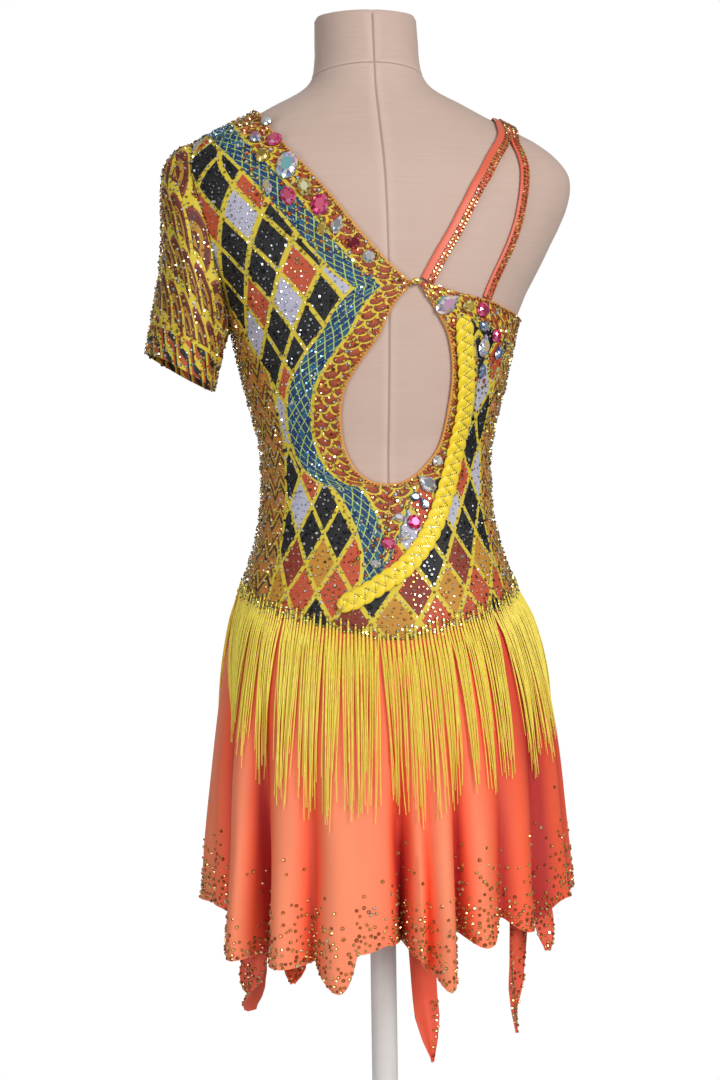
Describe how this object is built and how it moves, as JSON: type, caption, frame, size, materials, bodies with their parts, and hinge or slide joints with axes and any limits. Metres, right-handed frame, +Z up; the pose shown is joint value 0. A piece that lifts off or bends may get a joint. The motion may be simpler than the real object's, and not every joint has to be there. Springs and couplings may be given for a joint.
{
  "type": "salsa dance dress on a dress form",
  "caption": "Open-backed one-sleeved salsa dance dress with a corded fringe and a folded short skirt, standing on a limbless dress form with a pole and a round base.",
  "frame": {"origin": "centre of the stand's base on the floor", "axes": "+Z up along the stand's pole; the wearer faces -Y, so the open back looks along +Y; +X is the wearer's left, the sleeved side"},
  "size_m": [0.4269, 0.361, 1.283],
  "materials": {
    "linen": "matte stretch cover",
    "paint": "satin",
    "coral": "satin stretch",
    "coral_dark": "dull, wrong side",
    "print_black": "printed lycra",
    "print_gold": "printed lycra",
    "print_maroon": "printed lycra",
    "yellow": "glossy cord",
    "crystal": "faceted, foil-backed",
    "aurora": "faceted, foil-backed",
    "pink": "faceted, foil-backed",
    "gold": "faceted, foil-backed",
    "garnet": "faceted, foil-backed",
    "sapphire": "faceted, foil-backed"
  },
  "bodies": {
    "root": {"form_torso": "linen", "stand_pole": "paint", "stand_base": "paint", "bodice_back_left": "print_black", "bodice_back_right": "print_gold", "bodice_front": "print_maroon", "sleeve_left": "print_maroon", "neckline_binding": "coral", "keyhole_binding": "coral", "strap_inner": "coral", "strap_outer": "coral", "braid": "yellow", "clasp_bead": "gold", "skirt_back": "coral", "skirt_front": "coral", "hem_point_left": "coral_dark", "hem_point_small": "coral_dark", "hem_point_centre": "coral_dark", "hem_point_right": "coral_dark", "hem_point_side": "coral_dark", "fringe_back": "yellow", "fringe_front": "yellow", "stone_01": "crystal", "stone_02": "aurora", "stone_03": "pink", "stone_04": "gold", "stone_05": "aurora", "stone_06": "aurora", "stone_07": "gold", "stone_08": "pink", "stone_09": "pink", "stone_10": "crystal", "stone_11": "gold", "stone_12": "garnet", "stone_13": "crystal", "stone_14": "aurora", "stone_15": "gold", "stone_16": "pink", "stone_17": "sapphire", "stone_18": "aurora", "stone_19": "pink", "stone_20": "sapphire", "stone_21": "sapphire", "stone_22": "crystal", "stone_23": "aurora", "stone_24": "sapphire", "stone_25": "sapphire", "stone_26": "pink", "stone_27": "aurora", "stone_28": "pink", "stone_29": "crystal", "stone_30": "crystal"}
  },
  "joints": []
}
